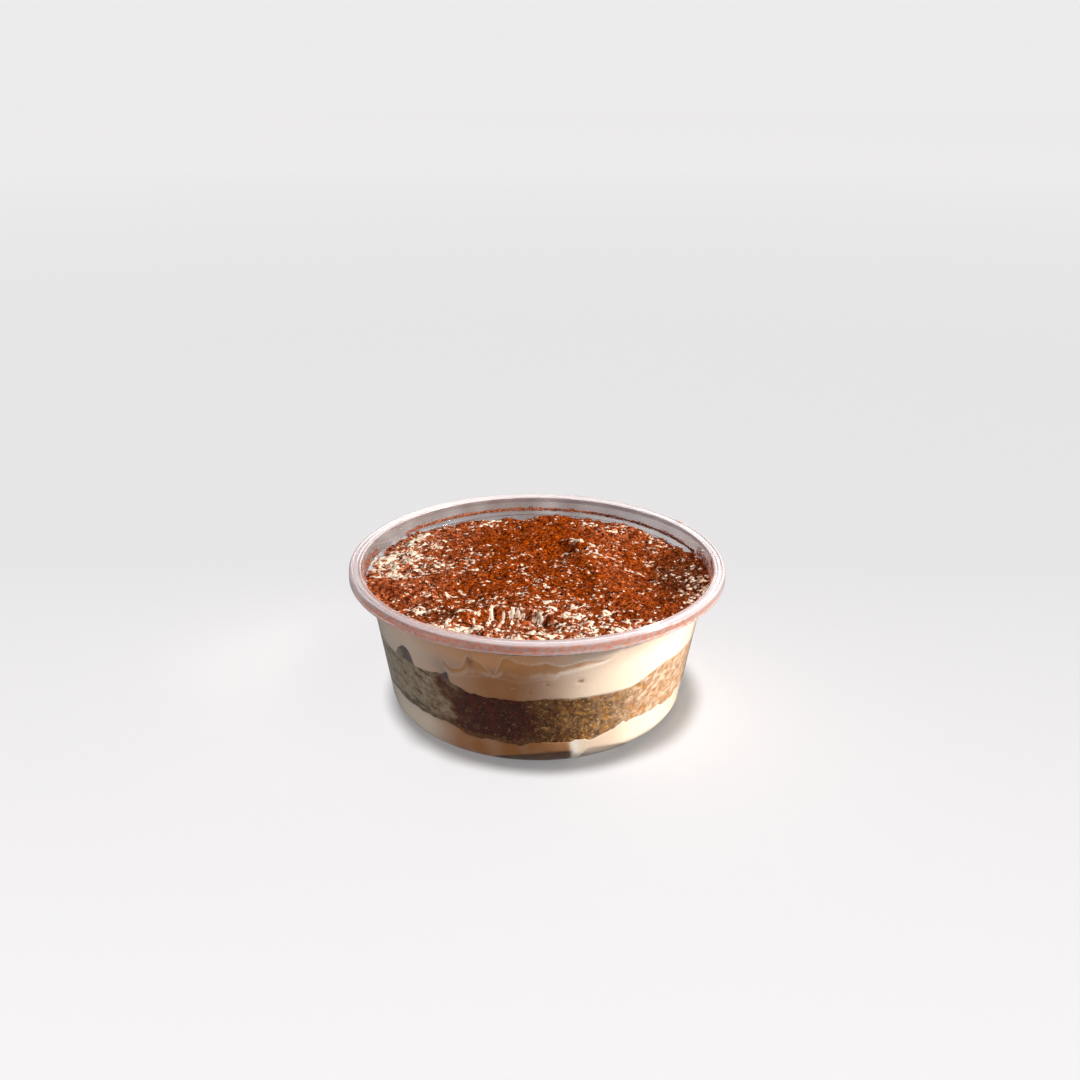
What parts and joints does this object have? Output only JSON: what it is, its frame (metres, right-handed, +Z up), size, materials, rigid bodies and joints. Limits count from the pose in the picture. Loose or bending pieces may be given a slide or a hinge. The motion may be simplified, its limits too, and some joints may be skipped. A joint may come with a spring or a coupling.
{
  "type": "tiramisu in a takeaway tub",
  "caption": "Layered dessert of mascarpone cream and coffee-soaked sponge with a cocoa-dusted top, served in a clear round takeaway tub.",
  "frame": {"origin": "centre of the tub's foot, on the surface it stands on", "axes": "+Z up through the rim; the front, where the top cream is folded over itself, faces -Y"},
  "size_m": [0.117, 0.117, 0.046],
  "materials": {
    "clear_plastic": "thin clear polypropylene, slightly hazy",
    "mascarpone": "smooth soft cream",
    "soaked_sponge": "wet open crumb",
    "cocoa": "dry sifted powder"
  },
  "bodies": {
    "root": {"tub": "clear_plastic", "base_cream": "mascarpone", "sponge": "soaked_sponge", "top_cream": "mascarpone"}
  },
  "joints": []
}
